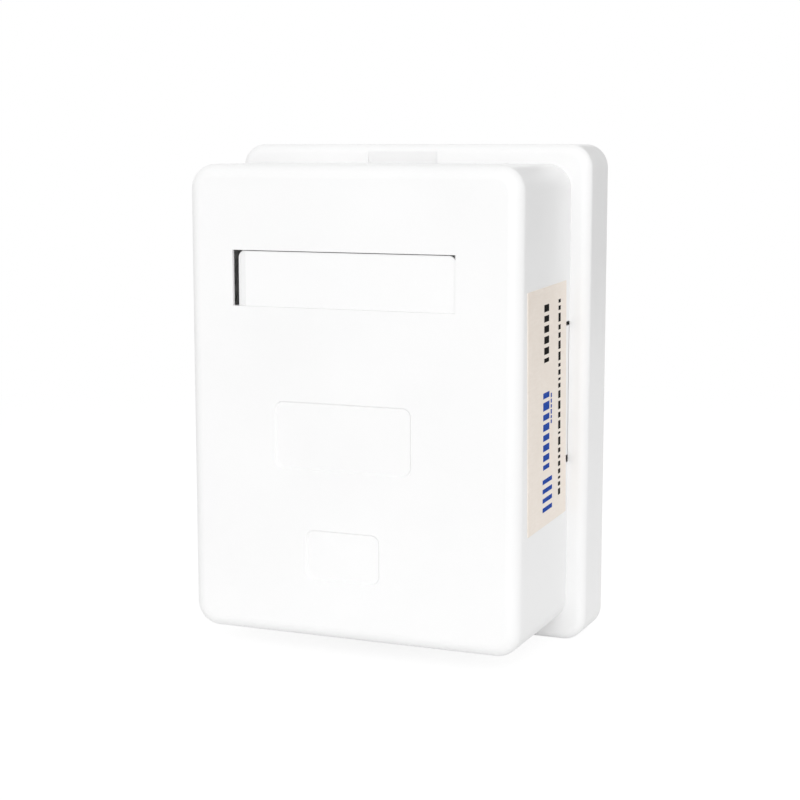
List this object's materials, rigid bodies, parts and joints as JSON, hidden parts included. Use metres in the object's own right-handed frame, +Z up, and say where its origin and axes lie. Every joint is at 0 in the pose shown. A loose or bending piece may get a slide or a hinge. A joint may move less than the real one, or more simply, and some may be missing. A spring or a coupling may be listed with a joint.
{
  "type": "surface mount jack box",
  "caption": "Wall box for a modular data jack: a deep clip-in cover with a label plate stands in a wider base that carries a circuit board, a jack and punch-down terminals.",
  "frame": {"origin": "centre of the base's back face, which lies on the wall", "axes": "+Z up the wall, +X to the right as seen from the room, +Y into the wall, so the cover faces -Y"},
  "size_m": [0.052, 0.029, 0.068],
  "materials": {
    "case_white": "satin moulded white plastic",
    "label_white": "smooth white plastic",
    "sticker_paper": "beige printed paper label",
    "board_green": "glass-fibre board with green solder mask",
    "jack_plastic": "moulded white plastic",
    "carrier_plastic": "moulded dark blue plastic",
    "contact_gold": "gold-plated spring wire",
    "terminal_plastic": "moulded ivory plastic",
    "blade_metal": "tinned bronze strip",
    "cap_plastic": "moulded white plastic",
    "screw_steel": "zinc-plated steel"
  },
  "bodies": {
    "base": {"base": "case_white", "circuit_board": "board_green", "board_screws": "screw_steel", "jack_housing": "jack_plastic", "contact_carrier": "carrier_plastic", "jack_contact_1": "contact_gold", "jack_contact_2": "contact_gold", "jack_contact_3": "contact_gold", "jack_contact_4": "contact_gold", "jack_contact_5": "contact_gold", "jack_contact_6": "contact_gold", "jack_contact_7": "contact_gold", "jack_contact_8": "contact_gold", "terminal_block_left": "terminal_plastic", "terminal_block_right": "terminal_plastic", "terminal_blade_1": "blade_metal", "terminal_blade_2": "blade_metal", "terminal_blade_3": "blade_metal", "terminal_blade_4": "blade_metal", "terminal_blade_5": "blade_metal", "terminal_blade_6": "blade_metal", "terminal_blade_7": "blade_metal", "terminal_blade_8": "blade_metal"},
    "cover": {"cover": "case_white", "side_sticker": "sticker_paper"},
    "label_plate": {"label_plate": "label_white"},
    "cap_left": {"terminal_cap_left": "cap_plastic"},
    "cap_right": {"terminal_cap_right": "cap_plastic"}
  },
  "joints": [
    {"name": "cover_lift", "type": "slide", "parent": "base", "child": "cover", "axis": [0, -1, 0], "range_m": [0, 0.03]},
    {"name": "label_lift", "type": "slide", "parent": "cover", "child": "label_plate", "axis": [0, -1, 0], "range_m": [0, 0.006]},
    {"name": "cap_left_lift", "type": "slide", "parent": "base", "child": "cap_left", "axis": [0, -1, 0], "range_m": [0, 0.005]},
    {"name": "cap_right_lift", "type": "slide", "parent": "base", "child": "cap_right", "axis": [0, -1, 0], "range_m": [0, 0.005]}
  ]
}
